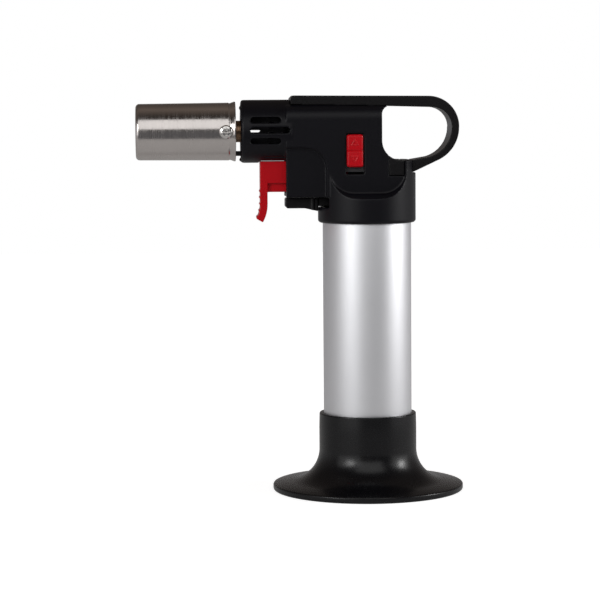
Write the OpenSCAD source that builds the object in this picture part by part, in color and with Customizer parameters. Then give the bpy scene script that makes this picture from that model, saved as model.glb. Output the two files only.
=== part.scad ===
// Butane hand torch, free-standing on a flared base.
// Origin: centre of the base's underside, on the tank's axis. +Z up the tank, the flame leaves towards -X.

/* [Base and tank] */
// Radius of the flared base
base_r = 41.1; // [40.6:0.1:42]
// Height of the base's neck around the tank
base_h = 33.6; // [30:0.2:36]
// Outer radius of the aluminium tank sleeve
tank_r = 19; // [19:0.1:19]
// Height of the floor that the tank stands on
seat_z = 12; // [12:0.5:12]
// Height of the sleeve's top edge
sleeve_top = 118.4; // [118:0.1:118.5]

/* [Head] */
// Outer radius of the round collar over the tank
collar_r = 21; // [20.8:0.1:21.1]
// Height of the collar's lower edge
collar_z = 115.75; // [114:0.05:117]
// Half the width of the head between its flat cheeks
cheek_y = 13; // [13:0.1:13.2]
// Thickness of the moulded walls
wall = 2; // [1.8:0.1:2]
// Outer radius of the slotted nose
nose_r = 13.45; // [13.1:0.05:13.5]
// Where the nose begins, along X
nose_x = -54; // [-54.5:0.1:-54]

/* [Burner] */
// Height of the burner's axis above the table
fire_z = 155; // [155:0.1:155]
// Where the barrel's mouth is, along X
barrel_x0 = -98.7; // [-104:0.1:-96]
// Where the barrel's rear rim is, along X
barrel_x1 = -56.2; // [-56.4:0.1:-56.2]
// Outer radius of the barrel near its mouth
barrel_r = 12; // [12:0.1:12.2]
// Inner radius of the barrel
barrel_bore = 11.2; // [11:0.1:11.2]

/* [Strap] */
// Height of the strap's top at its front end
strap_top = 170.15; // [169.8:0.05:170.4]
// Half the width of the strap
strap_y = 9; // [8:0.5:10]
// Where the strap's front end is, along X
strap_x = -33; // [-33.5:0.5:-30]

/* [Motion] */
// Travel of the trigger into the head
trigger_travel = 5.5; // [5:0.1:5.5]
// Travel of the slider, downwards
slider_travel = 2.7; // [2.4:0.1:2.7]

/* [Hidden] */
$fn = 96;
gap = 0.3;                       // between pieces that move past each other
cut = 60;                        // long enough to pass right through the head

// Refill valve
port_z = 8.5;                    // the port's mouth
port_r = 2.3;
port_len = 3;
refill_body_r = 4.5;
refill_top = 19;
chamber_z = 12.7;
wick_z0 = 21.6;

// Main valve
cap_z = 113;                     // underside of the reservoir's cap
cap_neck_r = 15;
neck_groove_z = 118.6;
neck_groove_h = 1.8;
flange_z = 118.8;                // flange of the head, held in the cap's groove
hub_z = 122.6;                   // underside of the flame adjuster's ring
hub_h = 2.8;
valve_neck_r = 4.8;
valve_neck_top = 126.2;
outlet_z = 127.8;                // height of the gas outlet
outlet_top = 129.4;
stem_r = 1.2;
stem_top = 131;

// Rocker between trigger and valve stem
rocker_x = -7.5;
rocker_z = 132.15;
rocker_nose_x = -15.6;           // where the trigger's ramp lifts it
ramp_slope = 0.2356;
rocker_half_y = 3;

// Trigger
trigger_x = -45.9;               // its front face
trigger_y = 4.8;                 // half its width
trigger_top = 142.2;
trigger_step = 132.9;            // where the wide block meets the narrow rail
trigger_back = -22.8;
lever_t = 3.1;                   // thickness of the finger lever
lever_bend_z = 124;              // where the finger lever starts to curve forward
lever_bend_r = 12.5;             // radius of its front face there
lever_bend_a = 30;
ridge_r = 0.45;
ridge_heights = [129.5, 126.8, 124, 121.2, 118.5];

// Igniter
piezo_z = 138;
piezo_x0 = -16;
piezo_x1 = 8;
plunger_r = 2.3;
lead_z = 145.6;                  // height of the lead where it crosses to the barrel
lead_r = 1.15;
hose_r = 1.6;

// Head outline
block_x = -35;                   // front face of the head below the nose
block_y = 11.2;                  // half width of the recessed front block
block_z = 127;
arch_x = -18;
arch_z = 148;
head_top = 166.3;
hole_x = 5.7;                    // left side of the finger hole
hole_z = 142.5;                  // bottom of the finger hole
hole_top = 165.4;                // its top, where the strap's seat ends
hole_r = 8.2;
hole_top_r = 3.4;
recess_x0 = -16.5;               // the flat cheek's U-shaped edge
recess_x1 = 15.7;
recess_z = 128.3;
recess_r = 10;
recess_slope = 0.22;             // how far the edge leans out, per mm of depth
seat_drop = head_top - hole_top; // fall of the strap's seat towards the rear
keel_y = 2.5;                    // half the width of the keel under the strap
keel_h = 1;
web_y = 4;                       // inner face of the webs behind the nose's slots
web_t = 0.6;
web_z = 143.6;

// Slots in the nose: height, rear end
slot_h = 2.5;
slot_x0 = -50.2;
slots = [[151, -37.2], [155.5, -33.4], [159.8, -37.2]];

// Slider
slider_x0 = -9.45;
slider_x1 = -2.45;
slider_z0 = 139.65;
slider_z1 = 153.55;
catch_y = 9.35;                  // inner face of the plate behind the slider
detent_x = -0.25;

// Screws of the head: x and z of each axis
screw_spots = [[-20, 160.8], [0.6, 160.2], [-28, 150.3], [13.2, 131]];
peg_x = [-29, -9];               // pegs of the strap
peg_y = 4.5;

// Finger loop: arcs of its outer and inner outlines, each an upper and a lower one
loop_top_c = [25.75, 156.4];
loop_top_r = 13.25;
loop_low_c = [23.6, 156.3];
loop_low_r = 15.35;
loop_low_a = 65;
eye_top_c = [27.3, 156.4];
eye_top_r = 8.45;
eye_low_c = [22.6, 156.3];
eye_low_r = 13.1;
eye_low_a = 75;
root_x = 18.9;                   // where the loop's root ends inside the head
notch_x0 = 8.4;                  // snap window of the root
notch_x1 = 15.2;
notch_z = 135.85;

jet_x = -45.4;                   // mouth of the gas jet
screw_x = -60.4;                 // screws of the barrel

// Routes of the hose and the lead, piece to piece
hose_route = [
    [0, 6.6, 127.8], [0, 7.6, 127.9], [0, 8.4, 128.8], [0, 8.5, 130.5], [0, 8.5, 136], [0, 8.5, 142],
    [-0.6, 8.4, 146], [-3, 8.2, 149], [-7, 8, 150.4], [-12, 7.4, 151], [-16.5, 6, 152], [-20.5, 3.6, 153.6],
    [-24, 1.2, 154.8], [-27, 0.1, 155], [-29.5, 0, 155]
];
lead_route = [
    [6.5, 3.4, 138.6], [6.4, 4.4, 138.8], [5.8, 5.4, 139.6], [4.2, 5.6, 141.2], [1, 5.4, 143.2],
    [-3, 4.6, 144.8], [-8, 3, 145.5], [-13, 1.4, 145.6], [-18, 0.3, 145.6], [-24, 0, 145.6],
    [-44, 0, 145.6], [-64, 0, 145.6]
];

// Points of an arc about c, from angle a0 to a1
function arc(c, r, a0, a1, n = 12) =
    [for (i = [0:n]) let (a = a0 + (a1 - a0) * i / n) c + r * [cos(a), sin(a)]];
function unit(v) = v / norm(v);

// A smooth curve through the points p, k steps to a span
function curve_at(p, i, t) =
    let (a = p[max(i - 1, 0)], b = p[i], c = p[i + 1], d = p[min(i + 2, len(p) - 1)])
    0.5 * (2 * b + (c - a) * t + (2 * a - 5 * b + 4 * c - d) * t * t + (3 * b - a - 3 * c + d) * t * t * t);
function smooth(p, k) = concat(
    [for (i = [0:len(p) - 2], j = [0:k - 1]) curve_at(p, i, j / k)],
    [p[len(p) - 1]]
);
function tangents(p) = [for (i = [0:len(p) - 1]) unit(p[min(i + 1, len(p) - 1)] - p[max(i - 1, 0)])];
function normals(t, n, i = 0) =
    i == len(t) ? [] : let (m = unit(n - (n * t[i]) * t[i])) concat([m], normals(t, m, i + 1));

// A round tube swept along the points p
module tube(p, r, sides = 8, up = [0, 0, 1]) {
    t = tangents(p);
    n = normals(t, up);
    rings = [
        for (i = [0:len(p) - 1], k = [0:sides - 1])
            p[i] + r * (cos(360 * k / sides) * n[i] + sin(360 * k / sides) * cross(t[i], n[i]))
    ];
    last = (len(p) - 1) * sides;
    polyhedron(
        points = rings,
        faces = concat(
            [[for (k = [0:sides - 1]) k]],
            [for (i = [0:len(p) - 2], k = [0:sides - 1])
                [i * sides + k, (i + 1) * sides + k, i * sides + (k + 1) % sides]],
            [for (i = [0:len(p) - 2], k = [0:sides - 1])
                [(i + 1) * sides + k, (i + 1) * sides + (k + 1) % sides, i * sides + (k + 1) % sides]],
            [[for (k = [sides - 1:-1:0]) last + k]]
        )
    );
}

// A coil spring standing on z = 0
module coil(r, wire, h, turns) {
    steps = turns * 12;
    tube([for (i = [0:steps]) [r * cos(30 * i), r * sin(30 * i), wire + (h - 2 * wire) * i / steps]],
        wire, 6);
}

// Shapes drawn as [x, z] and extruded across the head, and as [y, z] and extruded along it
module across(half_y) {
    rotate([90, 0, 0]) linear_extrude(height = 2 * half_y, center = true) children();
}
module along(x0, x1) {
    translate([x0, 0, 0]) rotate([90, 0, 90]) linear_extrude(height = x1 - x0) children();
}
module rod_x(x0, x1, z, r) {
    translate([x0, 0, z]) rotate([0, 90, 0]) cylinder(h = x1 - x0, r = r);
}
module rod_y(y0, y1, x, z, r) {
    translate([x, y0, z]) rotate([-90, 0, 0]) cylinder(h = y1 - y0, r = r);
}
module block(x0, x1, half_y, z0, z1) {
    translate([x0, -half_y, z0]) cube([x1 - x0, 2 * half_y, z1 - z0]);
}
module ring(r_in, r_out, z0, z1) {
    difference() {
        translate([0, 0, z0]) cylinder(h = z1 - z0, r = r_out);
        translate([0, 0, z0 - 1]) cylinder(h = z1 - z0 + 2, r = r_in);
    }
}

// ---- Base and tank ----

module base_stand() {
    bore = tank_r + 0.05;
    neck_r = 21;
    flare_r = 14.2;
    flare_z = 18;
    floor_t = 2.5;
    hole = 6.6;
    color([0.03, 0.03, 0.035]) rotate_extrude() polygon(concat(
        [[base_r - 3, 0], [base_r - 0.6, 0], [base_r, 0.7], [base_r, 2.2], [base_r - 0.7, 2.9]],
        arc([neck_r + flare_r, flare_z], flare_r, 262, 180, 20),
        [[neck_r, 28], [neck_r - 0.15, base_h - 0.5], [neck_r - 0.6, base_h], [bore, base_h]],
        [[bore, seat_z], [hole, seat_z], [hole, seat_z - floor_t], [20, seat_z - floor_t]],
        [[23.5, 6.2], [28, 3.3], [33, 1.6], [base_r - 3, 0.9]]
    ));
}

module tank_sleeve() {
    color([0.83, 0.83, 0.85]) ring(tank_r - 1, tank_r, seat_z, sleeve_top);
}

module fuel_reservoir() {
    color([0.9, 0.9, 0.88]) difference() {
        union() {
            translate([0, 0, seat_z]) cylinder(h = cap_z - seat_z, r = 17.7);
            translate([0, 0, seat_z - 2.5]) cylinder(h = 3, r = 6.5);
        }
        difference() {
            translate([0, 0, seat_z + 3]) cylinder(h = cap_z, r = 15.9);
            cylinder(h = seat_z + 6, r = 6.5);
        }
        cylinder(h = seat_z + 10, r = refill_body_r);
    }
}

module reservoir_cap() {
    color([0.86, 0.86, 0.84]) rotate_extrude() polygon([
        [5, cap_z - 2.5], [15.8, cap_z - 2.5], [15.8, cap_z], [17.7, cap_z], [17.7, cap_z + 2],
        [cap_neck_r, cap_z + 2], [cap_neck_r, neck_groove_z], [13.4, neck_groove_z],
        [13.4, neck_groove_z + neck_groove_h], [cap_neck_r, neck_groove_z + neck_groove_h],
        [cap_neck_r, 121.6], [11, 121.6], [11, cap_z + 2], [5, cap_z + 2]
    ]);
}

module fuel_wick() {
    color([0.95, 0.94, 0.9]) translate([0, 0, wick_z0]) cylinder(h = 103 - wick_z0, r = 1.5);
}

module valve_filter() {
    color([0.85, 0.82, 0.72]) translate([0, 0, 103]) cylinder(h = 4, r = 4.5);
}

// ---- Refill valve ----

module refill_valve_body() {
    color([0.78, 0.62, 0.3]) rotate_extrude() polygon([
        [port_r, port_z], [refill_body_r - 0.4, port_z], [refill_body_r, port_z + 0.4],
        [refill_body_r, refill_top], [1.25, refill_top], [1.25, refill_top - 1.3],
        [3.2, refill_top - 1.3], [3.2, chamber_z], [1.45, chamber_z],
        [1.45, port_z + port_len], [port_r, port_z + port_len]
    ]);
}

module refill_valve_stem() {
    tip_z = port_z + port_len + 0.1;
    color([0.8, 0.66, 0.34]) {
        translate([0, 0, tip_z]) cylinder(h = refill_top + 0.4 - tip_z, r = 1.15);
        translate([0, 0, chamber_z + 0.5]) cylinder(h = 1.1, r = 2.7);
    }
}

module refill_spring() {
    color([0.7, 0.7, 0.72]) translate([0, 0, chamber_z + 1.65]) coil(2.1, 0.2, 3.3, 3);
}

module refill_seal() {
    color([0.05, 0.05, 0.05]) ring(1.45, 3.1, chamber_z, chamber_z + 0.45);
}

// ---- Main valve ----

module main_valve_body() {
    color([0.78, 0.62, 0.3]) difference() {
        union() {
            translate([0, 0, 107]) cylinder(h = 8, r = 5);
            translate([0, 0, cap_z + 2]) cylinder(h = 2, r = 7.5, $fn = 6);
            translate([0, 0, cap_z + 4]) cylinder(h = 5.4, r = 6.2);
            translate([0, 0, 122.4]) cylinder(h = valve_neck_top - 122.4, r = valve_neck_r);
            translate([0, 0, valve_neck_top]) cylinder(h = outlet_top - valve_neck_top, r = 4);
            rod_y(0, 6.6, 0, outlet_z, 1.4);
        }
        translate([0, 0, 112]) cylinder(h = 10, r = 3.2);
        translate([0, 0, 106]) cylinder(h = 7, r = 1);
        translate([0, 0, 121]) cylinder(h = 10, r = stem_r + 0.08);
        ring(valve_neck_r - 0.6, valve_neck_r + 1, 125.5, 126.1);
        ring(0.5, 2.2, 123.4, 124.6);
        rod_y(0, 7, 0, outlet_z, 0.6);
    }
}

module valve_stem() {
    color([0.8, 0.66, 0.34]) {
        translate([0, 0, 118]) cylinder(h = stem_top - 118, r = stem_r);
        translate([0, 0, 120.9]) cylinder(h = 1, r = 2.7);
    }
}

module valve_spring() {
    color([0.7, 0.7, 0.72]) translate([0, 0, 112.1]) coil(2.2, 0.25, 8.7, 6);
}

module stem_seal() {
    color([0.05, 0.05, 0.05]) ring(stem_r + 0.06, 2.15, 123.45, 124.55);
}

module adjuster_clip() {
    color([0.6, 0.6, 0.62]) difference() {
        ring(valve_neck_r - 0.55, 6.6, 125.55, 126.05);
        translate([3, -1.6, 125]) cube([5, 3.2, 2]);
    }
}

module flame_adjust_lever() {
    paddle_x0 = -35.2;
    paddle_x1 = -21.25;
    paddle_z0 = 122.1;
    paddle_z1 = 126.5;
    color([0.05, 0.05, 0.055]) difference() {
        union() {
            translate([0, 0, hub_z]) cylinder(h = hub_h, r = 8);
            block(paddle_x1 - 2, -6.5, 4, hub_z + gap, hub_z + hub_h);
            block(paddle_x1 - 2, -8.5, 4, hub_z + gap, paddle_z1);
            across(5) polygon([
                [paddle_x0 + 0.8, paddle_z0], [-27, paddle_z0], [paddle_x1, 120.8],
                [paddle_x1, paddle_z1], [paddle_x0 + 0.5, paddle_z1], [paddle_x0, paddle_z1 - 0.5],
                [paddle_x0, paddle_z0 + 0.8]
            ]);
            block(-24, -23, 5.4, 121.3, paddle_z1);
        }
        translate([0, 0, hub_z - 1]) cylinder(h = hub_h + 2, r = valve_neck_r + 0.07);
    }
}

module valve_lever() {
    color([0.85, 0.85, 0.8]) difference() {
        union() {
            block(rocker_nose_x, 0.8, rocker_half_y, 131.3, 132.9);
            rod_y(-rocker_half_y, rocker_half_y, rocker_nose_x, 132.1, 0.85);
            rod_y(-rocker_half_y, rocker_half_y, 0.8, 132.1, 0.85);
            rod_y(-rocker_half_y, rocker_half_y, rocker_x, rocker_z, 1.9);
        }
        rod_y(-4, 4, rocker_x, rocker_z, 1.05);
    }
}

module lever_pin() {
    color([0.75, 0.75, 0.77]) rod_y(-10.9, 10.9, rocker_x, rocker_z, 1);
}

// ---- Head ----

// The head's cross-section: flat cheeks and a rounded top
module head_section(half_y, r, z0, z1) {
    polygon(concat(
        [[-half_y, z0], [half_y, z0]],
        arc([half_y - r, z1 - r], r, 0, 90, 8),
        arc([r - half_y, z1 - r], r, 90, 180, 8)
    ));
}

// The finger hole and all behind it, grown by a margin
module finger_void(m) {
    across(cut) polygon(concat(
        arc([hole_x + hole_r, hole_z + hole_r], hole_r + m, 180, 270),
        [[cut, hole_z - m], [cut, head_top + 1], [hole_x + hole_top_r + m, head_top + 1]],
        arc([hole_x + hole_top_r, hole_top - hole_top_r], hole_top_r - m, 90, 180, 6)
    ));
}

module arch_panel(half_y, m) {
    across(half_y) polygon(concat(
        [[block_x - 5, block_z - 5], [arch_x + m, block_z - 5]],
        arc([arch_x - 9, arch_z - 9], 9 + m, 0, 90),
        [[block_x - 5, arch_z + m]]
    ));
}

// The U-shaped area of the flat cheek, grown by m
module cheek_outline(m) {
    r = recess_r + m;
    polygon(concat(
        [[recess_x0 - m, arch_z + 10]],
        arc([recess_x0 + recess_r, recess_z + recess_r], r, 180, 270),
        arc([recess_x1 - recess_r, recess_z + recess_r], r, 270, 360),
        [[recess_x1 + m, arch_z + 10]]
    ));
}

// What is cut away beside the flat cheek on one side; its edge leans outwards
module cheek_recess(side) {
    depth = collar_r + 1 - cheek_y;
    hull() {
        translate([0, side * cheek_y, 0]) across(0.005) cheek_outline(0);
        translate([0, side * (cheek_y + depth), 0]) across(0.005) cheek_outline(depth * recess_slope);
    }
}

// Everything above the strap's seat, which falls towards the rear
module above_seat(half_y, m) {
    rear_x = hole_x + hole_top_r;
    across(half_y) polygon([
        [strap_x, head_top - m], [rear_x, hole_top - m], [cut, hole_top - m], [cut, head_top + 10],
        [strap_x, head_top + 10]
    ]);
}

module head_outer() {
    // Round collar, its flat cheeks cut back above the U-shaped edge
    difference() {
        rotate_extrude() polygon([
            [0, collar_z], [collar_r - 0.8, collar_z], [collar_r, collar_z + 0.8], [collar_r, 143],
            [collar_r - 0.6, 146.5], [17, 150], [0, 150]
        ]);
        for (side = [-1, 1]) cheek_recess(side);
        finger_void(0);
    }
    // Flat-cheeked body
    difference() {
        intersection() {
            along(block_x, collar_r) head_section(cheek_y, 6, block_z, head_top);
            union() {
                translate([0, 0, block_z]) cylinder(h = head_top - block_z, r = collar_r);
                block(block_x - 1, 10, cut, block_z, head_top + 1);
            }
        }
        difference() {
            arch_panel(cut, 0);
            across(block_y) square([4 * cut, 6 * cut], center = true);
        }
        finger_void(0);
    }
    // Round nose
    translate([nose_x, 0, fire_z]) rotate([0, 90, 0]) rotate_extrude() polygon([
        [0, 0], [nose_r - 1, 0], [nose_r - 0.3, 0.3], [nose_r, 1], [nose_r, 21.2], [0, 21.2]
    ]);
}

module head_inner() {
    inner_top = hole_top - wall;
    // Inside the collar
    translate([0, 0, collar_z - 1]) cylinder(h = flange_z - collar_z + 1, r = tank_r + 0.05);
    translate([0, 0, sleeve_top]) cylinder(h = 3, r = 13.7);
    translate([0, 0, 120.2]) cylinder(h = 6.1, r = collar_r - wall - 0.2);
    difference() {
        union() {
            intersection() {
                along(arch_x + wall, collar_r) head_section(cheek_y - wall, 4.5, 126, inner_top);
                translate([0, 0, 126]) cylinder(h = 45, r = collar_r - wall - 0.2);
            }
            along(block_x + wall, 2) head_section(block_y - wall, 4, 128.8, inner_top);
            along(block_x + wall, 2) head_section(cheek_y - wall, 4.5, 150, inner_top);
        }
        finger_void(wall);
    }
    rod_x(nose_x + wall, block_x + wall + 1, fire_z, nose_r - wall);
}

// Ribs and bosses that hold the pieces inside
module head_ribs() {
    for (s = screw_spots) {
        rod_y(-11.5, 8, s[0], s[1], 2.7);
        rod_y(7.4, 11.5, s[0], s[1], 3.8);
    }
    rod_y(-11.5, -3.4, rocker_x, rocker_z, 2);
    rod_y(3.4, 11.5, rocker_x, rocker_z, 2);
    for (x = [-42, -36]) difference() {
        rod_x(x, x + 1.6, fire_z, nose_r - 0.5);
        rod_x(x - 1, x + 3, fire_z, 3.55);
        block(x - 1, x + 3, 1.6, 130, 148);
    }
    // Webs behind the slots, open in front of the jet
    difference() {
        block(slot_x0 - 0.5, block_x, web_y + web_t, web_z, fire_z + nose_r - 2);
        block(slot_x0 - 1, block_x + 1, web_y, web_z - 1, fire_z + nose_r);
        block(slot_x0 - 1, jet_x - 0.2, cut, fire_z - 0.3, fire_z + 0.5);
    }
    // Cradle of the igniter: behind, below, and above its front and rear
    block(piezo_x1 + 0.05, piezo_x1 + 0.95, 11.5, 128, piezo_z - 0.5);
    block(5, 6.5, 11.5, 130, piezo_z - 3.45);
    block(-15.5, -14, 11.5, piezo_z + 3.45, piezo_z + 4.6);
    translate([5, -11.5, piezo_z + 3.45]) cube([1.5, 11.5, 1.15]);
}

// Openings through the shells
module head_cuts() {
    difference() {
        for (s = slots) across(cut) polygon(concat(
            arc([slot_x0 + slot_h / 2, s[0]], slot_h / 2, 90, 270, 8),
            arc([s[1] - slot_h / 2, s[0]], slot_h / 2, -90, 90, 8)
        ));
        block(slot_x0 - 1, block_x + 3, web_y + web_t, fire_z - nose_r, fire_z + nose_r);
    }
    // Flats beside the trigger's way
    for (side = [-1, 1])
        translate([-44.2, side > 0 ? 7.2 : -7.2 - cut, 130]) cube([44.2 + block_x, cut, 14.3]);
    // Way of the trigger
    block(trigger_x - gap, block_x + 0.1, trigger_y + gap, 125, trigger_top + gap);
    block(block_x - 1, block_x + wall + 1, trigger_y + gap, 128.8, trigger_top + gap);
    // Sweep of the flame adjuster
    difference() {
        translate([0, 0, hub_z - 0.2]) rotate_extrude() square([collar_r + 6, 4.3]);
        translate([-10, -cut, 100]) cube([cut, 2 * cut, 40]);
        rotate([0, 0, 35]) translate([-cut, -cut, 100]) cube([2 * cut, cut, 40]);
        rotate([0, 0, -35]) translate([-cut, 0, 100]) cube([2 * cut, cut, 40]);
    }
    // Mixing tube and lead through the nose
    rod_x(nose_x - 1, nose_x + wall + 1, fire_z, 4.65);
    rod_x(nose_x - 1, nose_x + wall + 1, lead_z, lead_r + 0.1);
    // Seat, keel groove and pegs of the strap
    above_seat(strap_y + 5, 0);
    intersection() {
        above_seat(keel_y + 0.1, keel_h + 0.2);
        block(-30.2, 5, keel_y + 1, 150, 180);
    }
    for (x = peg_x, side = [-1, 1]) translate([x, side * peg_y, head_top - 2.6]) cylinder(h = 4, r = 1.5);
    // Snap window and notch of the strap's root
    block(notch_x0, notch_x1, cheek_y + 5, notch_z, hole_z + 6);
    block(notch_x0, cut, 6.1, 137.9, hole_z + 1);
    block(root_x - 0.2, cut, strap_y + 0.1, 137, hole_z + 1);
    // Screw holes
    for (s = screw_spots) {
        rod_y(-8, 0, s[0], s[1], 1.25);
        rod_y(-0.1, 9, s[0], s[1], 1.5);
        rod_y(8.6, 20, s[0], s[1], 2.8);
    }
    rod_y(-11, 11, rocker_x, rocker_z, 1.02);
}

module head_half(side) {
    difference() {
        intersection() {
            union() {
                difference() {
                    head_outer();
                    head_inner();
                }
                intersection() {
                    head_ribs();
                    head_outer();
                }
            }
            translate([-2 * cut, side > 0 ? 0 : -cut, 0]) cube([4 * cut, cut, 4 * cut]);
        }
        head_cuts();
        if (side < 0)
            translate([slider_x0 - 0.45, -cut, slider_z0 - slider_travel - 0.2])
                cube([slider_x1 - slider_x0 + 0.9, cut, slider_z1 - slider_z0 + slider_travel + 0.6]);
    }
    // Locating nubs on the nose's front
    for (z = [142.9, 165]) translate([nose_x + 0.1, side * 1.4, z]) sphere(r = 0.8, $fn = 24);
}

module housing_left() {
    color([0.05, 0.05, 0.06]) head_half(-1);
}

module housing_right() {
    color([0.05, 0.05, 0.06]) head_half(1);
}

module housing_screws() {
    color([0.2, 0.2, 0.21]) for (s = screw_spots) {
        difference() {
            union() {
                rod_y(-7.5, 8.6, s[0], s[1], 1.2);
                rod_y(8.6, 10.2, s[0], s[1], 2.5);
            }
            translate([s[0] - 0.35, 9.4, s[1] - 1.6]) cube([0.7, 1.5, 3.2]);
            translate([s[0] - 1.6, 9.4, s[1] - 0.35]) cube([3.2, 1.5, 0.7]);
        }
    }
}

// The strap's side view: a band along the top, round the finger hole and back to the head
module strap_outline() {
    low_end = loop_low_c + loop_low_r * [cos(loop_low_a), -sin(loop_low_a)];
    run = root_x - low_end[0];
    polygon(concat(
        [[strap_x + 0.2, head_top], [strap_x, head_top + 1], [strap_x, strap_top - 1.2]],
        [[strap_x + 1.2, strap_top]],
        arc(loop_top_c, loop_top_r, 90, 2, 16),
        arc(loop_low_c, loop_low_r, 0, -loop_low_a, 16),
        [low_end + run * [1, tan(90 - loop_low_a)], [root_x, hole_z - 0.05]],
        arc(eye_low_c, eye_low_r, -eye_low_a, 0, 16),
        arc(eye_top_c, eye_top_r, 0, 90, 16),
        [[hole_x + hole_top_r, hole_top]]
    ));
}

module top_strap() {
    color([0.06, 0.055, 0.06]) {
        across(strap_y) strap_outline();
        intersection() {
            above_seat(keel_y, keel_h);
            block(-30, 4.8, keel_y + 1, 150, head_top + 1);
        }
        for (x = peg_x, side = [-1, 1]) translate([x, side * peg_y, head_top - 2.2]) cylinder(h = 3, r = 1.4);
        // Root: a tongue through the head's rear and a plug in the snap window
        difference() {
            union() {
                block(notch_x0 + 2, 23.5, 6, 138, hole_z - 0.05);
                block(notch_x0 + 0.1, notch_x1 - 0.1, cheek_y - 0.3, notch_z + 0.15, hole_z + 5);
            }
            finger_void(0);
            difference() {
                block(0, cut, cut, 100, 160);
                across(cut) polygon([[0, 130], [18, 136.8], [29.5, 142.1], [29.5, 150], [0, 150]]);
            }
        }
    }
}

// ---- Trigger and igniter ----

module trigger() {
    color([0.78, 0.04, 0.08]) {
        // Finger lever, straight and then curved forward
        across(trigger_y) polygon(concat(
            [[trigger_x, trigger_top], [trigger_x, lever_bend_z]],
            arc([trigger_x - lever_bend_r, lever_bend_z], lever_bend_r, 0, -lever_bend_a),
            arc([trigger_x - lever_bend_r, lever_bend_z], lever_bend_r + lever_t, -lever_bend_a, 0),
            [[trigger_x + lever_t, trigger_top]]
        ));
        for (z = ridge_heights) {
            drop = max(lever_bend_z - z, 0);
            x = trigger_x - lever_bend_r + sqrt(lever_bend_r * lever_bend_r - drop * drop);
            rod_y(-trigger_y + 0.4, trigger_y - 0.4, x + 0.05, z, ridge_r, $fn = 24);
        }
        // Block and the narrower rail below it
        block(trigger_x + 1, trigger_back, trigger_y, trigger_step, trigger_top);
        block(trigger_x + 2, trigger_back, 3.2, 129.1, trigger_step + 0.5);
        // Ramp that lifts the rocker
        across(2.9) polygon([
            [trigger_back - 1, 129.1], [rocker_nose_x + 0.2, 129.1], [rocker_nose_x + 0.2, 130.7],
            [rocker_nose_x - 0.3, 130.9],
            [trigger_back - 1, 130.9 + (rocker_nose_x - 0.3 - trigger_back + 1) * ramp_slope]
        ]);
        // Arm and hook that the slider's catch holds
        translate([trigger_back - 1, -6.6, 134.6]) cube([-8.4 - trigger_back + 1, 2.3, 1.7]);
        translate([-9.8, -6.6, 136]) cube([1.4, 2.3, 3]);
        translate([trigger_back - 3, -6.6, 134.6]) cube([2.5, 3, 6]);
    }
}

module trigger_spring() {
    color([0.7, 0.7, 0.72])
        translate([trigger_back + 0.05, 0, piezo_z]) rotate([0, 90, 0]) coil(2.85, 0.25, 6.65, 4);
}

module piezo_igniter() {
    color([0.16, 0.16, 0.17]) difference() {
        block(piezo_x0, piezo_x1, 3.4, piezo_z - 3.4, piezo_z + 3.4);
        rod_x(piezo_x0 - 1, -2.5, piezo_z, plunger_r + 0.1);
    }
}

module piezo_plunger() {
    color([0.8, 0.8, 0.78]) rod_x(trigger_back + 0.05, -8.6, piezo_z, plunger_r);
}

module ignition_lead() {
    color([0.03, 0.03, 0.03]) tube(smooth(lead_route, 3), lead_r, 8, [0, 0, 1]);
}

module ceramic_insulator() {
    color([0.93, 0.92, 0.88]) difference() {
        rod_x(-76, -64.05, lead_z, 1.65);
        rod_x(-77, -63, lead_z, 0.55);
    }
}

module spark_electrode() {
    color([0.75, 0.74, 0.72]) {
        rod_x(-84, -64.1, lead_z, 0.5);
        translate([-84, 0, lead_z]) sphere(r = 0.5, $fn = 24);
        translate([-84, 0, lead_z]) rotate([0, -18, 0]) cylinder(h = 3.2, r = 0.5);
    }
}

// ---- Slider ----

module lock_slider() {
    w = slider_x1 - slider_x0;
    h = slider_z1 - slider_z0;
    color([0.82, 0.05, 0.08]) {
        translate([slider_x0, -13.4, slider_z0]) cube([w, 2.6, h]);
        translate([slider_x0 + 0.6, -13.9, slider_z0 + 0.6]) cube([w - 1.2, 1, h - 1.2]);
    }
}

module slider_catch() {
    color([0.15, 0.15, 0.16]) {
        translate([slider_x0 - 2.2, -catch_y - 1.4, slider_z0 - 2])
            cube([slider_x1 - slider_x0 + 4, 1.4, slider_z1 - slider_z0 + 4]);
        translate([-8, -catch_y - 0.15, 139.3]) cube([3.3, 5.2, 3.7]);
    }
}

module slider_detent() {
    color([0.7, 0.7, 0.72]) {
        translate([detent_x, -10.95, 141]) cube([0.4, 2.6, 10]);
        translate([detent_x, -10.95, 150.6]) cube([3, 2.6, 0.4]);
    }
}

// ---- Gas line and burner ----

module gas_hose() {
    color([0.85, 0.85, 0.82]) tube(smooth(hose_route, 3), hose_r, 8, [1, 0, 0]);
}

module jet_holder() {
    color([0.8, 0.64, 0.32]) difference() {
        union() {
            rod_x(-43.4, -33, fire_z, 3.5);
            rod_x(-33.5, -29.5, fire_z, 1.4);
        }
        rod_x(-44, -29, fire_z, 0.7);
        rod_x(-44, -40.5, fire_z, 2);
    }
}

module gas_jet() {
    color([0.86, 0.72, 0.4]) difference() {
        union() {
            rod_x(-43.4, -40.6, fire_z, 1.98);
            translate([-44.4, 0, fire_z]) rotate([0, 90, 0]) cylinder(h = 1, r = 2.9, $fn = 6);
            translate([jet_x, 0, fire_z]) rotate([0, 90, 0]) cylinder(h = 1.1, r1 = 0.9, r2 = 1.8);
        }
        rod_x(-46, -42, fire_z, 0.25);
        rod_x(-43, -40, fire_z, 0.8);
    }
}

module mixing_tube() {
    color([0.72, 0.55, 0.3]) difference() {
        union() {
            rod_x(-72, -51, fire_z, 4.6);
            rod_x(-52, -51.2, fire_z, 6.5);
        }
        rod_x(-73, -50, fire_z, 3.5);
    }
}

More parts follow.
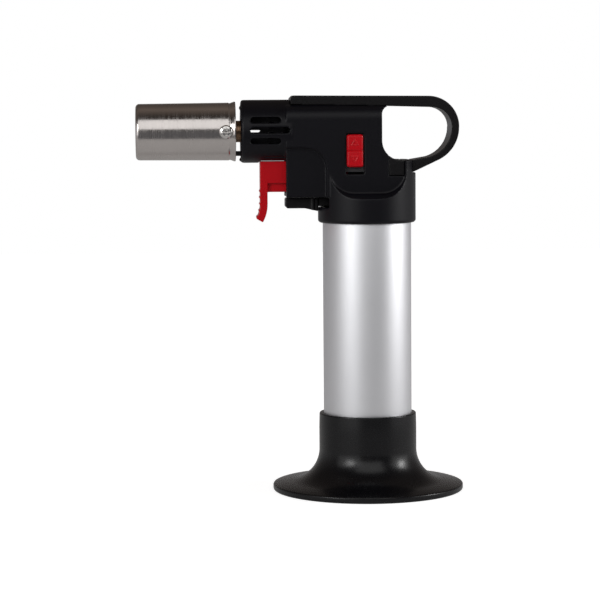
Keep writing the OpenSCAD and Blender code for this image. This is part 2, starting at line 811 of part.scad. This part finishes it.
module burner_mount() {
    color([0.6, 0.58, 0.55]) difference() {
        rod_x(-64, -57.2, fire_z, barrel_bore - 0.03);
        rod_x(-65, -56, fire_z, 4.62);
        rod_x(-65, -56, lead_z, lead_r + 0.15);
        rod_y(-20, -7, screw_x, fire_z, 1.45);
        rod_y(7, 20, screw_x, fire_z, 1.45);
    }
}

module burner_head() {
    color([0.7, 0.56, 0.36]) difference() {
        union() {
            rod_x(-80, -66, fire_z, 7.3);
            rod_x(-66.5, -64.05, fire_z, 5.4);
        }
        rod_x(-73, -63, fire_z, 4.62);
        rod_x(-81, -72.5, fire_z, 6.4);
    }
}

module flame_holder() {
    color([0.62, 0.6, 0.57]) difference() {
        rod_x(-79.8, -77.4, fire_z, 6.38);
        rod_x(-81, -76, fire_z, 1.3);
        for (i = [0:11]) translate([0, 0, fire_z]) rotate([i * 30, 0, 0]) rod_x(-81, -76, 4.4, 0.8);
    }
}

module barrel() {
    l = barrel_x1 - barrel_x0;
    color([0.72, 0.69, 0.66]) difference() {
        translate([barrel_x0, 0, fire_z]) rotate([0, 90, 0]) rotate_extrude() polygon(concat(
            [[barrel_bore, l], [barrel_bore, 2.4], [barrel_bore - 0.5, 1.4], [barrel_bore - 0.6, 0.5]],
            [[barrel_bore - 0.35, 0]],
            arc([barrel_r - 1.6, 1.6], 1.6, -75, 0, 6),
            [[barrel_r + 0.3, l - 2.4], [barrel_r + 0.3, l - 1.6], [barrel_r + 0.75, l - 0.9], [barrel_r + 0.75, l]]
        ));
        rod_y(-20, 20, screw_x, fire_z, 1.5);
    }
}

module barrel_screws() {
    color([0.75, 0.75, 0.74]) for (side = [-1, 1]) scale([1, side, 1]) difference() {
        union() {
            rod_y(8.2, 12.4, screw_x, fire_z, 1.4);
            translate([screw_x, 12.36, fire_z]) rotate([-90, 0, 0]) rotate_extrude() polygon([
                [0, 0], [2.9, 0], [2.9, 0.5], [2.5, 1], [1.7, 1.35], [0, 1.5]
            ]);
        }
        translate([screw_x - 1.7, 13.1, fire_z - 0.35]) cube([3.4, 2, 0.7]);
        translate([screw_x - 0.35, 13.1, fire_z - 1.7]) cube([0.7, 2, 3.4]);
    }
}

base_stand();
tank_sleeve();
fuel_reservoir();
reservoir_cap();
fuel_wick();
valve_filter();
refill_valve_body();
refill_valve_stem();
refill_spring();
refill_seal();
main_valve_body();
valve_stem();
valve_spring();
stem_seal();
adjuster_clip();
flame_adjust_lever();
valve_lever();
lever_pin();
housing_left();
housing_right();
housing_screws();
top_strap();
trigger();
trigger_spring();
piezo_igniter();
piezo_plunger();
ignition_lead();
lock_slider();
slider_catch();
slider_detent();
gas_hose();
jet_holder();
gas_jet();
mixing_tube();
burner_mount();
burner_head();
flame_holder();
ceramic_insulator();
spark_electrode();
barrel();
barrel_screws();
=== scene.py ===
"""Looks of the butane torch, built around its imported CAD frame. Lengths are in metres."""

import math

import bmesh
import bpy
from mathutils import Matrix, Quaternion, Vector


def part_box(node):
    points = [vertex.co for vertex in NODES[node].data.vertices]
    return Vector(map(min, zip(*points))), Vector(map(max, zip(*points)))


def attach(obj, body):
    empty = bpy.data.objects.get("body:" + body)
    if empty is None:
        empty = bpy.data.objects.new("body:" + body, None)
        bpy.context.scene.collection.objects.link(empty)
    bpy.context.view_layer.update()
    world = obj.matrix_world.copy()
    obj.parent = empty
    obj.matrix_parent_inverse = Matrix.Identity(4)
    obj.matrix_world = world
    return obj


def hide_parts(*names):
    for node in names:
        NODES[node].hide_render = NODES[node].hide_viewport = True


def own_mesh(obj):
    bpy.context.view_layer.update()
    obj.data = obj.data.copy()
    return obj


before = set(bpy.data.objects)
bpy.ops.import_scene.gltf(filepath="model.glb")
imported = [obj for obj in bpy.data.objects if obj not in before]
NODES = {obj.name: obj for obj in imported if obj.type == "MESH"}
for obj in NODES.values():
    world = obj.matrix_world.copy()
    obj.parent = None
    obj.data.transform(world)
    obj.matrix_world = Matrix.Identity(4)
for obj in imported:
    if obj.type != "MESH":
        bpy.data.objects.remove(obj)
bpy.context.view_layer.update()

MM = 0.001
SAME_POINT = 1e-6  # corners closer than this are one
scene = bpy.context.scene


def centre_of(node):
    low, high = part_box(node)
    return (low + high) / 2


FIRE_Z = centre_of("mixing_tube").z  # height of the burner's axis


# ---- Camera, light and floor ----

def make_camera():
    distance, azimuth, height = 0.989, math.radians(-4.7), 0.1665
    aim_right, aim_height, roll = -0.029, 0.0822, math.radians(-0.4)
    right = Vector((math.cos(azimuth), math.sin(azimuth), 0))
    data = bpy.data.cameras.new("camera")
    data.sensor_width = 36
    data.lens = 138
    data.clip_start = 0.05
    data.clip_end = 30
    camera = bpy.data.objects.new("camera", data)
    camera.location = (distance * math.sin(azimuth), -distance * math.cos(azimuth), height)
    aim = right * aim_right + Vector((0, 0, aim_height))
    level = (aim - camera.location).to_track_quat("-Z", "Y")
    camera.rotation_euler = (level @ Quaternion((0, 0, 1), roll)).to_euler()
    scene.collection.objects.link(camera)
    scene.camera = camera


def softbox(name, azimuth, elevation, width, height, radiance, distance=1.5):
    """A rectangular lamp that faces the torch, as bright as radiance over its whole face."""
    a, e = math.radians(azimuth), math.radians(elevation)
    direction = Vector((math.sin(a) * math.cos(e), -math.cos(a) * math.cos(e), math.sin(e)))
    lamp = bpy.data.lights.new(name, "AREA")
    lamp.shape = "RECTANGLE"
    lamp.size = width
    lamp.size_y = height
    lamp.energy = radiance * math.pi * width * height
    obj = bpy.data.objects.new(name, lamp)
    obj.location = Vector((0, 0, 0.1)) + direction * distance
    obj.rotation_euler = direction.to_track_quat("Z", "Y").to_euler()
    scene.collection.objects.link(obj)


def add(nodes, kind, **values):
    """A shader node with its inputs and settings by name."""
    node = nodes.new(kind)
    for key, value in values.items():
        name = key.replace("_", " ")
        if name in node.inputs:
            node.inputs[name].default_value = value
        else:
            setattr(node, key, value)
    return node


def make_world():
    """White where the camera looks past the object, and a dim studio in what the object reflects."""
    world = bpy.data.worlds.new("studio")
    world.use_nodes = True
    scene.world = world
    nodes, links = world.node_tree.nodes, world.node_tree.links
    nodes.clear()
    place = add(nodes, "ShaderNodeTexCoord")
    split = add(nodes, "ShaderNodeSeparateXYZ")
    links.new(place.outputs["Generated"], split.inputs[0])
    ceiling = add(nodes, "ShaderNodeValToRGB")
    stops = ceiling.color_ramp.elements
    stops[0].position, stops[0].color = 0.3, (0.5, 0.5, 0.52, 1)
    stops[1].position, stops[1].color = 1.0, (0.16, 0.13, 0.11, 1)
    for position, colour in ((0.49, (0.5, 0.5, 0.52, 1)), (0.56, (0.3, 0.28, 0.27, 1)),
                             (0.75, (0.1, 0.085, 0.075, 1))):
        stops.new(position).color = colour
    rise = add(nodes, "ShaderNodeMapRange", From_Min=-1.0, From_Max=1.0)
    links.new(split.outputs["Z"], rise.inputs["Value"])
    links.new(rise.outputs["Result"], ceiling.inputs["Fac"])
    depth = add(nodes, "ShaderNodeMapRange", From_Min=-1.0, From_Max=1.0)
    links.new(split.outputs["Y"], depth.inputs["Value"])
    front = add(nodes, "ShaderNodeValToRGB")
    stops = front.color_ramp.elements
    stops[0].position, stops[0].color = 0.3, (0.22, 0.22, 0.22, 1)
    stops[1].position, stops[1].color = 1.0, (0.9, 0.9, 0.9, 1)
    for position, grey in ((0.6, 1.0), (0.8, 0.7), (0.9, 0.7)):
        stops.new(position).color = (grey, grey, grey, 1)
    links.new(depth.outputs["Result"], front.inputs["Fac"])
    dim = add(nodes, "ShaderNodeBackground")
    links.new(ceiling.outputs["Color"], dim.inputs["Color"])
    links.new(front.outputs["Color"], dim.inputs["Strength"])
    white = add(nodes, "ShaderNodeBackground", Color=(1, 1, 1, 1), Strength=1.0)
    ray = add(nodes, "ShaderNodeLightPath")
    mix = add(nodes, "ShaderNodeMixShader")
    links.new(ray.outputs["Is Camera Ray"], mix.inputs[0])
    links.new(dim.outputs[0], mix.inputs[1])
    links.new(white.outputs[0], mix.inputs[2])
    out = add(nodes, "ShaderNodeOutputWorld")
    links.new(mix.outputs[0], out.inputs["Surface"])


def make_floor():
    half_width, front, back = 1.6, -0.30, 1.6
    mesh = bpy.data.meshes.new("floor")
    corners = [(-half_width, front, 0), (half_width, front, 0), (half_width, back, 0), (-half_width, back, 0)]
    mesh.from_pydata(corners, [], [(0, 1, 2, 3)])
    floor = bpy.data.objects.new("floor", mesh)
    scene.collection.objects.link(floor)
    mat = bpy.data.materials.new("pale_floor")
    mat.use_nodes = True
    nodes, links = mat.node_tree.nodes, mat.node_tree.links
    nodes.clear()
    paper = add(nodes, "ShaderNodeBsdfDiffuse", Color=(0.5, 0.5, 0.5, 1))
    glow = add(nodes, "ShaderNodeEmission", Color=(1, 1, 1, 1))
    ray = add(nodes, "ShaderNodeLightPath")
    place = add(nodes, "ShaderNodeTexCoord")
    away = add(nodes, "ShaderNodeVectorMath", operation="LENGTH")
    links.new(place.outputs["Object"], away.inputs[0])
    # For camera rays the floor glows less near the torch (0.85 at 0.05 m) than far out (full from 0.35 m):
    # painted shade round the base, added to its real shadow. Other rays see a weak even glow of 0.18.
    spread = add(nodes, "ShaderNodeMapRange", From_Min=0.05, From_Max=0.35, To_Min=0.85, To_Max=1.0)
    links.new(away.outputs["Value"], spread.inputs["Value"])
    lift = add(nodes, "ShaderNodeMapRange", To_Min=0.18)
    links.new(ray.outputs["Is Camera Ray"], lift.inputs["Value"])
    links.new(spread.outputs["Result"], lift.inputs["To Max"])
    links.new(lift.outputs["Result"], glow.inputs["Strength"])
    both = add(nodes, "ShaderNodeAddShader")
    links.new(paper.outputs[0], both.inputs[0])
    links.new(glow.outputs[0], both.inputs[1])
    out = add(nodes, "ShaderNodeOutputMaterial")
    links.new(both.outputs[0], out.inputs["Surface"])
    mesh.materials.append(mat)


# ---- Materials ----

def finish(name, colour, rough, metal=0.0, tint=0.12, spread=0.05, patch=8 * MM, grain=0.3 * MM,
           relief=0.02 * MM, stretch=(1, 1, 1), **sockets):
    """A procedural surface: colour and roughness wander over patches, and fine grain shows as relief.

    stretch scales the grain's frequency along X, Y and Z, which draws it out into brush lines."""
    mat = bpy.data.materials.new(name)
    mat.use_nodes = True
    nodes, links = mat.node_tree.nodes, mat.node_tree.links
    shader = nodes["Principled BSDF"]
    shader.inputs["Metallic"].default_value = metal
    for key, value in sockets.items():
        shader.inputs[key.replace("_", " ")].default_value = value
    place = add(nodes, "ShaderNodeTexCoord")
    broad = add(nodes, "ShaderNodeTexNoise", Scale=1 / patch, Detail=3.0)
    links.new(place.outputs["Object"], broad.inputs["Vector"])
    shades = add(nodes, "ShaderNodeMix", data_type="RGBA")
    for socket, share in ((6, 1 - tint), (7, 1 + tint)):
        shades.inputs[socket].default_value = [min(c * share, 1) for c in colour] + [1]
    links.new(broad.outputs["Fac"], shades.inputs[0])
    links.new(shades.outputs[2], shader.inputs["Base Color"])
    drawn = add(nodes, "ShaderNodeMapping", Scale=stretch)
    links.new(place.outputs["Object"], drawn.inputs["Vector"])
    fine = add(nodes, "ShaderNodeTexNoise", Scale=1 / grain, Detail=2.0, Roughness=0.6)
    links.new(drawn.outputs["Vector"], fine.inputs["Vector"])
    wander = add(nodes, "ShaderNodeMapRange", From_Min=0.3, From_Max=0.7, To_Min=rough - spread,
                 To_Max=rough + spread)
    links.new(fine.outputs["Fac"], wander.inputs["Value"])
    links.new(wander.outputs["Result"], shader.inputs["Roughness"])
    bump = add(nodes, "ShaderNodeBump", Strength=1.0, Distance=relief)
    links.new(fine.outputs["Fac"], bump.inputs["Height"])
    links.new(bump.outputs["Normal"], shader.inputs["Normal"])
    return mat


def make_finishes():
    """One material for each of the record's slots."""
    round_x = (1, 0.02, 0.02)
    made = {
        "base_black": finish("base_black", (0.0024, 0.0024, 0.0034), 0.27, grain=0.35 * MM, relief=0.012 * MM,
                             Specular_IOR_Level=0.36),
        "head_black": finish("head_black", (0.003, 0.0028, 0.005), 0.4, grain=0.25 * MM, relief=0.02 * MM,
                             Specular_IOR_Level=0.22),
        "strap_black": finish("strap_black", (0.004, 0.0034, 0.0042), 0.36, grain=0.25 * MM,
                              relief=0.015 * MM, Specular_IOR_Level=0.3),
        "trigger_red": finish("trigger_red", (0.55, 0.003, 0.009), 0.33, tint=0.08, grain=0.3 * MM,
                              relief=0.01 * MM, Specular_IOR_Level=0.22),
        "tank_aluminium": finish("tank_aluminium", (0.84, 0.845, 0.87), 0.5, metal=1.0, tint=0.015,
                                 spread=0.04, grain=0.25 * MM, relief=0.01 * MM, stretch=(1, 1, 0.3)),
        "stainless": finish("stainless", (0.62, 0.58, 0.56), 0.2, metal=1.0, tint=0.06, spread=0.08,
                            grain=0.35 * MM, relief=0.012 * MM, stretch=round_x),
        "bright_steel": finish("bright_steel", (0.7, 0.68, 0.66), 0.2, metal=1.0, tint=0.05, grain=0.2 * MM,
                               relief=0.004 * MM),
        "dark_steel": finish("dark_steel", (0.05, 0.05, 0.052), 0.38, metal=0.6, grain=0.2 * MM,
                             relief=0.006 * MM),
        "spring_steel": finish("spring_steel", (0.6, 0.6, 0.62), 0.25, metal=1.0, tint=0.08, grain=0.15 * MM,
                               relief=0.003 * MM),
        "brass": finish("brass", (0.5, 0.33, 0.13), 0.28, metal=1.0, tint=0.12, spread=0.08, grain=0.3 * MM,
                        relief=0.006 * MM, stretch=round_x),
        "heated_brass": finish("heated_brass", (0.24, 0.15, 0.095), 0.33, metal=1.0, tint=0.2, spread=0.08,
                               grain=0.3 * MM, relief=0.006 * MM, stretch=round_x),
        "natural_plastic": finish("natural_plastic", (0.75, 0.73, 0.66), 0.45, tint=0.04, relief=0.01 * MM,
                                  Subsurface_Weight=0.15, Subsurface_Scale=0.002),
        "dark_plastic": finish("dark_plastic", (0.03, 0.03, 0.033), 0.5, relief=0.012 * MM),
        "wick_cotton": finish("wick_cotton", (0.8, 0.77, 0.7), 0.95, tint=0.08, grain=0.12 * MM,
                              relief=0.08 * MM, Sheen_Weight=0.4),
        "seal_rubber": finish("seal_rubber", (0.015, 0.015, 0.015), 0.62, relief=0.01 * MM),
        "lead_insulation": finish("lead_insulation", (0.008, 0.008, 0.008), 0.5, relief=0.015 * MM),
        "white_ceramic": finish("white_ceramic", (0.85, 0.83, 0.76), 0.5, tint=0.05, relief=0.012 * MM),
    }
    return made


FINISH = make_finishes()


# ---- Mesh tools ----

def applied(obj):
    """Replaces obj's mesh by what its modifiers make of it."""
    bpy.context.view_layer.update()
    evaluated = obj.evaluated_get(bpy.context.evaluated_depsgraph_get())
    mesh = bpy.data.meshes.new_from_object(evaluated)
    obj.modifiers.clear()
    obj.data = mesh


def shade(obj, angle=35):
    obj.data.polygons.foreach_set("use_smooth", [True] * len(obj.data.polygons))
    obj.data.set_sharp_from_angle(angle=math.radians(angle))


def object_of(name, bm):
    bmesh.ops.recalc_face_normals(bm, faces=bm.faces)
    mesh = bpy.data.meshes.new(name)
    bm.to_mesh(mesh)
    bm.free()
    obj = bpy.data.objects.new(name, mesh)
    scene.collection.objects.link(obj)
    return obj


def dress(obj, slot, body, *stands_for, angle=35):
    """Gives a built piece its finish and the body it rides on, and hides the CAD nodes it stands for."""
    obj.data.materials.clear()
    obj.data.materials.append(FINISH[slot])
    shade(obj, angle)
    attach(obj, body)
    if stands_for:
        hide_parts(*stands_for)
    return obj


def smooth_line(points, steps):
    """A Catmull-Rom curve through 2-D or 3-D points."""
    points = [Vector(p) for p in points]
    line = []
    for i in range(len(points) - 1):
        a, b, c, d = points[max(i - 1, 0)], points[i], points[i + 1], points[min(i + 2, len(points) - 1)]
        for k in range(steps):
            t = k / steps
            line.append(0.5 * (2 * b + (c - a) * t + (2 * a - 5 * b + 4 * c - d) * t * t
                               + (3 * b - a - 3 * c + d) * t ** 3))
    return line + [points[-1]]


def arc(cx, cy, r, start, end, steps=8):
    """Points of an arc, by angles in degrees."""
    angles = [math.radians(start + (end - start) * i / steps) for i in range(steps + 1)]
    return [(cx + r * math.cos(a), cy + r * math.sin(a)) for a in angles]


def lathe(name, profile, matrix=Matrix.Identity(4), segments=224):
    """Turns a closed outline of (radius, height) points round the Z axis, then places it by matrix."""
    bm = bmesh.new()
    rings = []
    for k in range(segments):
        a = 2 * math.pi * k / segments
        rings.append([bm.verts.new(matrix @ Vector((r * math.cos(a), r * math.sin(a), z)))
                      for r, z in profile])
    for k in range(segments):
        here, there = rings[k], rings[(k + 1) % segments]
        for i in range(len(profile)):
            j = (i + 1) % len(profile)
            bm.faces.new((here[i], there[i], there[j], here[j]))
    bmesh.ops.remove_doubles(bm, verts=bm.verts, dist=1e-7)
    return object_of(name, bm)


def along_x(x):
    """Places a lathe's axis along +X on the burner's axis, from x."""
    return Matrix.Translation((x, 0, FIRE_Z)) @ Matrix.Rotation(math.pi / 2, 4, "Y")


def coil(name, start, axis, radius, wire, length, turns):
    """A helical spring of round wire, from start along axis."""
    sides, steps = 10, 24
    axis = Vector(axis)
    u = axis.orthogonal().normalized()
    v = axis.cross(u)
    bm = bmesh.new()
    rings = []
    count = int(turns * steps)
    for i in range(count + 1):
        a = 2 * math.pi * i / steps
        out = u * math.cos(a) + v * math.sin(a)
        middle = Vector(start) + axis * (wire + (length - 2 * wire) * i / count) + out * radius
        rings.append([bm.verts.new(middle + wire * (out * math.cos(b) + axis * math.sin(b)))
                      for b in [2 * math.pi * k / sides for k in range(sides)]])
    for one, two in zip(rings, rings[1:]):
        for k in range(sides):
            n = (k + 1) % sides
            bm.faces.new((one[k], one[n], two[n], two[k]))
    bm.faces.new(rings[0])
    bm.faces.new(rings[-1])
    return object_of(name, bm)


def moulding(node, slot, body, voxel, passes):
    """A piece with a CAD node's own shape, its edges slightly rounded."""
    obj = bpy.data.objects.new(node + "_moulding", NODES[node].data.copy())
    scene.collection.objects.link(obj)
    bm = bmesh.new()
    bm.from_mesh(obj.data)
    bmesh.ops.remove_doubles(bm, verts=bm.verts, dist=SAME_POINT)
    bm.to_mesh(obj.data)
    bm.free()
    step = obj.modifiers.new("skin", "REMESH")
    step.mode = "VOXEL"
    step.voxel_size = voxel
    step = obj.modifiers.new("soften", "SMOOTH")
    step.factor = 0.5
    step.iterations = passes
    applied(obj)
    return dress(obj, slot, body, node, angle=60)


# ---- Base and tank ----

def make_base():
    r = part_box("base_stand")[1].x
    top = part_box("base_stand")[1].z
    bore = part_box("tank_sleeve")[1].x + 0.05 * MM
    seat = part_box("tank_sleeve")[0].z
    neck, flare = 21 * MM, 14.2 * MM
    edge = arc(r - 0.9 * MM, 1 * MM, 0.9 * MM, -80, 0, 5) + arc(r - 0.7 * MM, 2.2 * MM, 0.7 * MM, 0, 80, 5)
    slope = arc(neck + flare, 18 * MM, flare, 262, 180, 40)
    slope += smooth_line([(neck, 22 * MM), (neck, 28 * MM), (neck - 0.12 * MM, top - 0.7 * MM)], 6)
    lip = arc(neck - 0.67 * MM, top - 0.55 * MM, 0.55 * MM, 0, 90, 6)
    inside = [(bore + 0.25 * MM, top), (bore, top - 0.25 * MM), (bore, seat), (6.6 * MM, seat),
              (6.6 * MM, seat - 2.5 * MM), (20 * MM, seat - 2.5 * MM), (23.5 * MM, 6.2 * MM),
              (28 * MM, 3.3 * MM), (33 * MM, 1.6 * MM), (r - 3 * MM, 0.9 * MM), (r - 3 * MM, 0)]
    outline = [tuple(p) for p in edge + slope + lip + inside]
    dress(lathe("base_flared_moulding", outline), "base_black", "torch_body", "base_stand")


def make_tank():
    low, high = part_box("tank_sleeve")
    r, e = high.x, 0.2 * MM
    outline = (arc(r - e, high.z - e, e, 0, 90, 4) + arc(r - 1 * MM + e, high.z - e, e, 90, 180, 4)
               + arc(r - 1 * MM + e, low.z + e, e, 180, 270, 4) + arc(r - e, low.z + e, e, 270, 360, 4))
    dress(lathe("tank_tube", outline), "tank_aluminium", "torch_body", "tank_sleeve")


# ---- Burner ----

def make_barrel():
    low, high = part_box("barrel")
    rim = high.z - FIRE_Z
    mouth_r, bore, length = 12 * MM, 11.2 * MM, high.x - low.x
    waist = rim - 0.45 * MM
    lip = arc(mouth_r - 1.6 * MM, 1.6 * MM, 1.6 * MM, -80, 0, 10)
    rear = smooth_line([
        (waist, length - 3.0 * MM), (waist - 0.22 * MM, length - 2.5 * MM),
        (waist - 0.04 * MM, length - 1.9 * MM), (rim - 0.15 * MM, length - 0.95 * MM),
        (rim, length - 0.5 * MM)], 5)
    inside = [(rim - 0.05 * MM, length - 0.1 * MM), (rim - 0.2 * MM, length), (bore + 0.2 * MM, length),
              (bore, length - 0.3 * MM), (bore, 2.6 * MM)]
    inside += smooth_line([(bore - 0.06 * MM, 1.9 * MM), (bore - 0.5 * MM, 1.1 * MM),
                           (bore - 0.62 * MM, 0.5 * MM), (bore - 0.4 * MM, 0.05 * MM)], 4)
    body = [(mouth_r + (waist - mouth_r) * t / 8, 1.6 * MM + (length - 4.6 * MM) * t / 8)
            for t in range(1, 8)]
    body.append((waist, length - 3.25 * MM))  # keeps the shading flat up to the groove
    outline = [tuple(p) for p in lip + body + rear + inside]
    dress(lathe("barrel_tube", outline, along_x(low.x), 192), "stainless", "torch_body", "barrel")


# ---- Slider ----

def make_slider():
    """A pillowed button in two halves, each with an embossed arrow outline."""
    low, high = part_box("lock_slider")
    width, height = high.x - low.x, high.z - low.z
    cx, cz = (low.x + high.x) / 2, (low.z + high.z) / 2
    corner, edge = 1.1 * MM, 1.0 * MM
    columns, rows = 54, 104

    def inside_distance(x, z):
        qx, qz = abs(x) - (width / 2 - corner), abs(z) - (height / 2 - corner)
        return corner - math.hypot(max(qx, 0), max(qz, 0)) - min(max(qx, qz), 0)

    def arrow_distance(x, z):
        """Distance to the outline of a small triangle that points away from the middle."""
        z = abs(z) - height * 0.25
        tip, foot, half = 1.35 * MM, -1.05 * MM, 1.35 * MM
        ends = [Vector((0, tip)), Vector((half, foot)), Vector((-half, foot))]
        best = 1.0
        for a, b in zip(ends, ends[1:] + ends[:1]):
            p = Vector((x, z))
            t = max(0, min(1, (p - a).dot(b - a) / (b - a).length_squared))
            best = min(best, (p - (a + (b - a) * t)).length)
        return best

    def depth(x, z):
        d = max(inside_distance(x, z), 0)
        round_off = edge * (1 - math.sqrt(max(0, 1 - (1 - min(d / edge, 1)) ** 2)))
        crown = 0.28 * MM * ((2 * x / width) ** 2 + (4 * (abs(z) - height / 4) / height) ** 2) / 2
        groove = 0.35 * MM * math.exp(-(z / (0.3 * MM)) ** 2)
        emboss = 0.2 * MM * max(0, 1 - (arrow_distance(x, z) / (0.3 * MM)) ** 2)
        return max(0.2 * MM + round_off + crown + groove - emboss, 0.0)

    bm = bmesh.new()
    front = []
    for j in range(rows + 1):
        row = []
        for i in range(columns + 1):
            x = width * (i / columns - 0.5)
            z = height * (j / rows - 0.5)
            qx, qz = abs(x) - (width / 2 - corner), abs(z) - (height / 2 - corner)
            if qx > 0 and qz > 0 and math.hypot(qx, qz) > corner:
                shrink = corner / math.hypot(qx, qz)
                x = math.copysign(width / 2 - corner + qx * shrink, x)
                z = math.copysign(height / 2 - corner + qz * shrink, z)
            row.append(bm.verts.new((cx + x, low.y + depth(x, z), cz + z)))
        front.append(row)
    for j in range(rows):
        for i in range(columns):
            bm.faces.new((front[j][i], front[j][i + 1], front[j + 1][i + 1], front[j + 1][i]))
    border = ([front[0][i] for i in range(columns)] + [front[j][columns] for j in range(rows)]
              + [front[rows][i] for i in range(columns, 0, -1)] + [front[j][0] for j in range(rows, 0, -1)])
    back = [bm.verts.new((v.co.x, high.y, v.co.z)) for v in border]
    for i in range(len(border)):
        j = (i + 1) % len(border)
        bm.faces.new((border[i], border[j], back[j], back[i]))
    bm.faces.new(back)
    bmesh.ops.dissolve_degenerate(bm, edges=bm.edges, dist=SAME_POINT)
    dress(object_of("slider_button", bm), "trigger_red", "lock_slider", "lock_slider", angle=50)


# ---- Springs, hose and lead ----

def make_springs():
    """A coil of round wire stands in for each CAD spring, each with a mesh of its own."""
    low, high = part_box("trigger_spring")
    middle = centre_of("trigger_spring")
    wire, length = 0.25 * MM, high.x - low.x
    spring = coil("trigger_return_spring", (low.x, middle.y, middle.z), (1, 0, 0), high.y - middle.y - wire,
                  wire, length, 4)
    dress(spring, "spring_steel", "torch_body", "trigger_spring")
    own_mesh(spring)
    upright = (("valve_closing_spring", "valve_spring", "trigger_pull", "valve_open", "low", 6, 0.25 * MM),
               ("refill_closing_spring", "refill_spring", "refill_push", "refill_push", "high", 3, 0.2 * MM))
    for name, node, joint, moved, fixed_end, turns, wire in upright:
        low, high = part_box(node)
        length = high.z - low.z
        spring = coil(name, (0, 0, low.z), (0, 0, 1), high.x - wire, wire, length, turns)
        dress(spring, "spring_steel", "torch_body", node)
        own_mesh(spring)


def round_tube(node, slot):
    """A piece with the shape of a CAD hose or lead, its facets smoothed away."""
    obj = bpy.data.objects.new(node + "_tube", NODES[node].data.copy())
    scene.collection.objects.link(obj)
    obj.modifiers.new("weld", "WELD").merge_threshold = SAME_POINT
    obj.modifiers.new("round", "SUBSURF").levels = 2
    applied(obj)
    dress(obj, slot, "torch_body", node, angle=60)


def plain(node, slot):
    """A CAD node that shows as it is, in its finish."""
    obj = NODES[node]
    obj.data.materials.clear()
    obj.data.materials.append(FINISH[slot])


CARRIED_OVER = {
    "natural_plastic": ["fuel_reservoir", "reservoir_cap", "valve_lever", "piezo_plunger"],
    "wick_cotton": ["fuel_wick", "valve_filter"],
    "brass": ["refill_valve_body", "refill_valve_stem", "main_valve_body", "valve_stem", "gas_jet",
              "burner_head"],
    "seal_rubber": ["refill_seal", "stem_seal"],
    "bright_steel": ["adjuster_clip", "slider_detent", "lever_pin", "spark_electrode"],
    "stainless": ["burner_mount", "flame_holder"],
    "dark_plastic": ["piezo_igniter", "slider_catch"],
    "white_ceramic": ["ceramic_insulator"],
    "heated_brass": ["mixing_tube"],
    # The jet holder gets dark steel so that it shows dark inside the nose, where light through the slots
    # falls on it: painted shade.
    "dark_steel": ["jet_holder"],
}


def make_carried_over():
    for slot, nodes in CARRIED_OVER.items():
        for node in nodes:
            plain(node, slot)
    round_tube("gas_hose", "natural_plastic")
    round_tube("ignition_lead", "lead_insulation")


def make_mouldings():
    moulding("housing_left", "head_black", "torch_body", 0.36 * MM, 3)
    moulding("housing_right", "head_black", "torch_body", 0.36 * MM, 3)
    moulding("top_strap", "strap_black", "torch_body", 0.3 * MM, 4)
    moulding("trigger", "trigger_red", "trigger", 0.2 * MM, 3)
    moulding("flame_adjust_lever", "strap_black", "flame_adjuster", 0.22 * MM, 3)
    moulding("barrel_screws", "bright_steel", "torch_body", 0.1 * MM, 2)
    moulding("housing_screws", "dark_steel", "torch_body", 0.15 * MM, 2)


make_camera()
make_world()
make_floor()
softbox("softbox_left", -50, 10, 1.5, 1.0, 0.95)
softbox("softbox_right", 76, 10, 1.3, 1.0, 0.95)
softbox("softbox_top", 0, 33, 1.6, 1.05, 1.1)
softbox("key_left", -47, 17, 0.4, 0.4, 8)
softbox("key_right", 80, 17, 0.35, 0.45, 14)
make_base()
make_tank()
make_barrel()
make_slider()
make_springs()
make_carried_over()
make_mouldings()

scene.view_settings.view_transform = "Standard"
